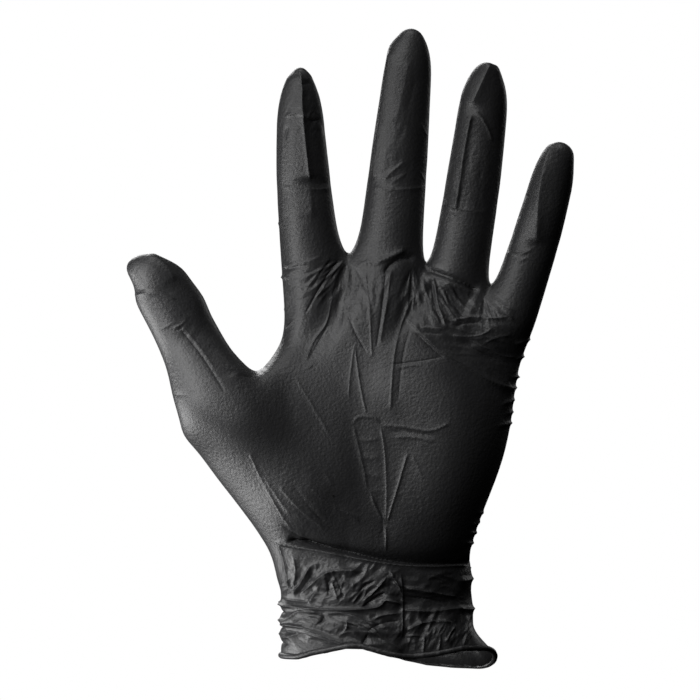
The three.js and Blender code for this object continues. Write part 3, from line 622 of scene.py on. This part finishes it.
def crumple_heights(points, normals, patches, direction):
    facing = smooth_step(*FACING, normals @ np.array(direction))
    heights = np.zeros(len(points))
    for height, x, z, reach_x, reach_z, angle, length, spacing in patches:
        from_x, from_z = points[:, 0] - x, points[:, 2] - z
        share = facing * np.exp(-(from_x / reach_x) ** PATCH_EDGE - (from_z / reach_z) ** PATCH_EDGE)
        near = np.flatnonzero(share > NEARLY_FLAT)
        turn = math.radians(angle)
        along = (from_x[near] * math.cos(turn) + from_z[near] * math.sin(turn)) / length
        across = (from_z[near] * math.cos(turn) - from_x[near] * math.sin(turn)) / spacing
        heights[near] += height * share[near] * folded_noise(along + x, across + z)
    return heights


def fan_heights(points, normals, direction):
    facing = smooth_step(*FACING, normals @ np.array(direction))
    heights = np.zeros(len(points))
    for height, x, z, first, last, reach, gap in WEB_FANS:
        from_x, from_z = points[:, 0] - x, points[:, 2] - z
        distance = np.hypot(from_x, from_z)
        angle = np.degrees(np.arctan2(from_z, from_x)) % 360
        share = facing * smooth_step(first - gap, first + gap, angle)
        share = share * smooth_step(last + gap, last - gap, angle)
        share *= smooth_step(*FAN_START, distance) * smooth_step(reach, reach / 2, distance)
        near = np.flatnonzero(share > NEARLY_FLAT)
        heights[near] += height * share[near] * folded_noise(distance[near] / FAN_LENGTH, angle[near] / gap)
    return heights


# %% Gather the strokes by the way that they face
FRONT = INDEX_STROKES + MIDDLE_STROKES + RING_STROKES + LITTLE_STROKES + THUMB_STROKES + PALM_STROKES
# a table, the way that it faces, or None for all round, and the sizes of its strokes
TABLES = (
    (FRONT, TO_THE_FRONT, TAUT_HEIGHT, TAUT_REACH),
    (CUFF_STROKES, TO_THE_FRONT, LOOSE_HEIGHT, LOOSE_REACH),
    (EDGE_STROKES, None, LOOSE_HEIGHT, LOOSE_REACH),
    (BACK_STROKES, TO_THE_BACK, LOOSE_HEIGHT, LOOSE_REACH),
)
print("strokes:", [len(table[0]) for table in TABLES])

# %% [markdown]
# ## Press the creases into the film
#
# A stroke's route is rounded into a curve, and each point near it finds its nearest place on the curve, which
# side of it the point is on, and how close that place is to an end, where the stroke fades out. Faces near a
# crease are first split in four, and then once more where it is high. The fine faces on smooth stretches are
# joined again at the end, so that the film stays light.

# %% Work out how high the creases are at each point
ROUTE_STEPS = 5
FADE_LENGTH = 3.0
CREST = 1.1  # 1 is a sharp crest, and 2 a round one
FURTHEST = 3  # a stroke is lost in the film this many reaches away


def rounded(route):
    ends = [np.array(point, float) for point in route]
    ends = [2 * ends[0] - ends[1], *ends, 2 * ends[-1] - ends[-2]]
    curve = []
    for a, b, c, d in zip(ends, ends[1:], ends[2:], ends[3:]):
        for step in range(ROUTE_STEPS):
            t = step / ROUTE_STEPS
            curve.append(0.5 * (2 * b + (c - a) * t + (2 * a - 5 * b + 4 * c - d) * t * t
                                + (3 * b - a - 3 * c + d) * t ** 3))
    return np.array([*curve, ends[-2]])


def nearest_on(curve, places):
    """Each place's distance from the curve, the side that it is on, and its distance from the nearer end."""
    best = np.full(len(places), np.inf)
    side = np.zeros(len(places))
    along = np.zeros(len(places))
    done = 0
    for start, end in zip(curve, curve[1:]):
        line = end - start
        length = np.hypot(*line)
        from_start = places - start
        share = np.clip(from_start @ line / length ** 2, 0, 1)
        away = from_start - share[:, None] * line
        distance = np.hypot(away[:, 0], away[:, 1])
        closer = distance < best
        best[closer] = distance[closer]
        side[closer] = (line[0] * from_start[:, 1] - line[1] * from_start[:, 0])[closer]
        along[closer] = done + share[closer] * length
        done += length
    return best, side, np.minimum(along, done - along)


def stroke_heights(points, normals, strokes, direction, height_unit, reach_unit):
    heights = np.zeros(len(points))
    facing = np.ones(len(points))
    if direction is not None:
        facing = smooth_step(*FACING, normals @ np.array(direction))
    for height, left, right, route in strokes:
        curve = rounded(route)
        margin = FURTHEST * max(left, right) * reach_unit
        low, high = curve.min(axis=0) - margin, curve.max(axis=0) + margin
        places = points[:, [0, 2]]
        near = np.all((places > low) & (places < high), axis=1) & (facing > 0)
        if not near.any():
            continue
        distance, side, to_end = nearest_on(curve, places[near])
        reach = np.where(side > 0, left, right) * reach_unit
        crest = np.exp(-(distance / reach) ** CREST)
        heights[near] += height_unit * height * crest * smooth_step(0, FADE_LENGTH, to_end) * facing[near]
    return heights


# %% Split the faces near the creases twice, then move the film
FINE_HEIGHTS = (0.05, 0.1)  # a crease at least this high is worth finer faces, and finer ones again
SMOOTHINGS = 2
KEPT_SHARE = 0.2  # of the fine faces, when those on smooth stretches are joined again


def all_heights(piece):
    points = read_points(piece)
    normals = read_points(piece, "normal")
    heights = [stroke_heights(points, normals, *table) for table in TABLES]
    heights.append(crumple_heights(points, normals, FRONT_CRUMPLES, TO_THE_FRONT))
    heights.append(crumple_heights(points, normals, BACK_CRUMPLES, TO_THE_BACK))
    heights.append(fan_heights(points, normals, TO_THE_FRONT))
    return heights


def split_faces(piece, worth_splitting):
    start_editing(piece, "FACE")
    skin = bmesh.from_edit_mesh(piece.data)
    skin.verts.ensure_lookup_table()
    for face in skin.faces:
        face.select_set(any(worth_splitting[vertex.index] for vertex in face.verts))
    bmesh.update_edit_mesh(piece.data)
    bpy.ops.mesh.subdivide(number_cuts=1, smoothness=0)
    bpy.ops.mesh.vertices_smooth(factor=0.5, repeat=SMOOTHINGS)
    stop_editing()
    print(piece.name, "has", len(piece.data.polygons), "faces")


for least in FINE_HEIGHTS:
    split_faces(film, np.abs(all_heights(film)).max(axis=0) > least)

points = read_points(film)
heights = sum(all_heights(film))
write_points(film, points + read_points(film, "normal") * heights[:, None])
print("creases from", round(heights.min(), 2), "to", round(heights.max(), 2), "mm")
apply_modifier(film, "DECIMATE", ratio=KEPT_SHARE)
print(film.name, "keeps", len(film.data.polygons), "faces")

# %% [markdown]
# ## The wall and the rolled bead
#
# The film needs an inside, because it shows at the mouth. A copy with fewer faces is drawn inwards by the wall
# and turned round, and the two skins are bridged at the hem. The edge of a real glove is rolled up into a
# bead. The loop along the hem becomes a curve with a round section.

# %% Separate the hem's loop for the bead
WALL = 0.9
INNER_SHARE = 0.1
BEAD_RADIUS = 1.05
BEAD_ROUNDNESS = 3

start_editing(film, "EDGE")
bpy.ops.mesh.select_non_manifold()
bpy.ops.mesh.duplicate()
bpy.ops.mesh.separate(type="SELECTED")
stop_editing()
bead = next(piece for piece in bpy.context.selected_objects if piece != film)
bead.name = "rolled_bead"
select_only(bead)
bpy.ops.object.convert(target="CURVE")
bead.data.bevel_depth = BEAD_RADIUS * MM
bead.data.bevel_resolution = BEAD_ROUNDNESS
bpy.ops.object.convert(target="MESH")
print("bead:", len(bead.data.polygons), "faces")

# %% Line the film with its inner skin
lining = bpy.data.objects.new("inner_skin", film.data.copy())
bpy.context.scene.collection.objects.link(lining)
apply_modifier(lining, "DECIMATE", ratio=INNER_SHARE)
write_points(lining, read_points(lining) - read_points(lining, "normal") * WALL)
start_editing(lining, "FACE")
bpy.ops.mesh.select_all(action="SELECT")
bpy.ops.mesh.flip_normals()
stop_editing()

select_only(film)
lining.select_set(True)
bpy.ops.object.join()
start_editing(film, "EDGE")
bpy.ops.mesh.select_non_manifold()
bpy.ops.mesh.bridge_edge_loops()
stop_editing()
for piece in (film, bead):
    select_only(piece)
    bpy.ops.object.shade_smooth()
    piece.data.calc_loop_triangles()
    print(piece.name, len(piece.data.loop_triangles), "triangles")

# %% [markdown]
# ## Nitrile
#
# Nitrile is a near-black rubber with a satin skin. Its surface is slightly leathery, because the liquid film
# shrinks as it cures. Two sizes of bump give that grain, and the roughness wanders a little where hands have
# polished it. Shader maths reads best as plain arithmetic, so a small class wraps a socket.


# %% A socket that takes arithmetic, and a material that makes nodes
class Signal:
    def __init__(self, finish, socket):
        self.finish = finish
        self.socket = socket

    def maths(self, operation, first, second):
        return self.finish.node("ShaderNodeMath", {"operation": operation}, {0: first, 1: second})[0]

    def __add__(self, other):
        return self.maths("ADD", self, other)

    def __sub__(self, other):
        return self.maths("SUBTRACT", self, other)

    def __mul__(self, other):
        return self.maths("MULTIPLY", self, other)

    def __rsub__(self, other):
        return self.maths("SUBTRACT", other, self)

    __radd__ = __add__
    __rmul__ = __mul__


class Finish:
    def __init__(self, name):
        self.material = bpy.data.materials.new(name)
        self.material.use_nodes = True
        self.tree = self.material.node_tree
        self.surface = self.tree.nodes["Principled BSDF"]

    def link(self, value, socket):
        if isinstance(value, Signal):
            self.tree.links.new(value.socket, socket)
        else:
            socket.default_value = value

    def node(self, kind, settings, sockets):
        made = self.tree.nodes.new(kind)
        for name, value in settings.items():
            setattr(made, name, value)
        for name, value in sockets.items():
            self.link(value, made.inputs[name])
        return [Signal(self, output) for output in made.outputs]

    def set(self, **values):
        for name, value in values.items():
            self.link(value, self.surface.inputs[name.replace("_", " ")])


# %% Make the nitrile
GRAIN_SIZE = 0.8
HIDE_SIZE = 1.3
PATCH_SIZE = 22
GRAIN_DEPTH = 0.32
BLACK = (0.015, 0.015, 0.016, 1)
WORN_BLACK = (0.030, 0.030, 0.031, 1)

nitrile = Finish("black_nitrile")
place = nitrile.node("ShaderNodeTexCoord", {}, {})[3]
grain = nitrile.node("ShaderNodeTexNoise", {}, {
    "Vector": place, "Scale": 1 / (GRAIN_SIZE * MM), "Detail": 2.0, "Roughness": 0.55})[0]
hide = nitrile.node("ShaderNodeTexVoronoi", {"feature": "SMOOTH_F1"}, {
    "Vector": place, "Scale": 1 / (HIDE_SIZE * MM), "Smoothness": 0.6})[0]
patches = nitrile.node("ShaderNodeTexNoise", {}, {
    "Vector": place, "Scale": 1 / (PATCH_SIZE * MM), "Detail": 3.0})[0]
relief = (grain * 0.6 + hide * 0.4) * (patches * 1.2 + 0.1)
bump = nitrile.node("ShaderNodeBump", {}, {
    "Height": relief, "Strength": 1.0, "Distance": GRAIN_DEPTH * MM})[0]
colour = nitrile.node("ShaderNodeMix", {"data_type": "RGBA"}, {
    0: patches * 0.6 + grain * 0.3, 6: BLACK, 7: WORN_BLACK})[2]
nitrile.set(Base_Color=colour, Roughness=0.36 + patches * 0.12 + grain * 0.08, Normal=bump)
nitrile.set(Metallic=0.0, Specular_IOR_Level=0.5)

for piece in (film, bead):
    piece.data.materials.clear()
    piece.data.materials.append(nitrile.material)
    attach(piece, "root")
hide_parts("glove")

# %% [markdown]
# ## Camera, light and floor
#
# The camera looks straight at the palm from far off, so the hand keeps its true proportions. Soft lights stand
# to the left, both above and below, and in front and overhead, and the other side falls into black, as in the
# picture. Weak lights behind show the back of the glove when the camera goes round. The floor is pale and lies
# below, as the glove is held up.

# %% Camera
PICTURE_WIDTH = 257.6  # mm of the glove's plane that the picture takes in
CAMERA_DISTANCE = 1400
SENSOR_WIDTH = 36
VIEW_CENTRE = (-7.7, 71.8)

camera = bpy.data.objects.new("camera", bpy.data.cameras.new("camera"))
bpy.context.scene.collection.objects.link(camera)
camera.data.sensor_width = SENSOR_WIDTH
camera.data.lens = SENSOR_WIDTH * CAMERA_DISTANCE / PICTURE_WIDTH
camera.location = (VIEW_CENTRE[0] * MM, -CAMERA_DISTANCE * MM, VIEW_CENTRE[1] * MM)
camera.rotation_euler = (math.radians(90), 0, 0)
bpy.context.scene.camera = camera

# %% Lights
# name, azimuth, elevation, distance in metres, size in metres, watts
LIGHTS = (
    ("key_light", -52, 30, 0.45, 0.25, 0.35),
    ("palm_light", -54, 4, 0.2, 0.12, 0.28),
    ("side_light", -96, -27, 0.36, 0.22, 1.3),
    ("front_light", -28, 30, 1.1, 0.6, 3.8),
    ("top_light", 0, 80, 1.1, 0.6, 3.8),
    ("back_light", -165, 30, 1.3, 0.7, 8),
    ("right_light", 140, 15, 1.3, 0.5, 0.8),
)
AIM = Vector((-0.03, 0, 0.05))
for name, azimuth, elevation, distance, size, power in LIGHTS:
    light = bpy.data.lights.new(name, "AREA")
    light.energy = power
    light.size = size
    lamp = bpy.data.objects.new(name, light)
    bpy.context.scene.collection.objects.link(lamp)
    turn, rise = math.radians(azimuth), math.radians(elevation)
    away = Vector((math.sin(turn) * math.cos(rise), -math.cos(turn) * math.cos(rise), math.sin(rise)))
    lamp.location = AIM + away * distance
    lamp.rotation_euler = (-away).to_track_quat("-Z", "Y").to_euler()

# %% Backdrop and floor
FLOOR_DROP = 0.5  # in metres, as the radius is
FLOOR_RADIUS = 0.5
BACKDROP = 1.0
FILL = 0.003  # what the world lights the glove with, so that no side is quite lost

world = bpy.data.worlds.new("studio")
bpy.context.scene.world = world
world.use_nodes = True
studio = world.node_tree
seen = studio.nodes.new("ShaderNodeLightPath")
backdrop = studio.nodes["Background"]
strength = studio.nodes.new("ShaderNodeMix")
strength.inputs[2].default_value = FILL
strength.inputs[3].default_value = BACKDROP
studio.links.new(seen.outputs["Is Camera Ray"], strength.inputs[0])
studio.links.new(strength.outputs[0], backdrop.inputs["Strength"])
backdrop.inputs["Color"].default_value = (1, 1, 1, 1)
bpy.context.scene.view_settings.view_transform = "Standard"

bpy.ops.object.select_all(action="DESELECT")
bpy.ops.mesh.primitive_circle_add(
    vertices=96, radius=FLOOR_RADIUS, fill_type="NGON", location=(0, 0, -FLOOR_DROP))
floor = bpy.context.active_object
floor.name = "floor"
floor.visible_diffuse = False
floor.visible_glossy = False
pale = Finish("pale_floor")
pale.set(Base_Color=(0.8, 0.8, 0.8, 1), Roughness=0.9)
floor.data.materials.append(pale.material)
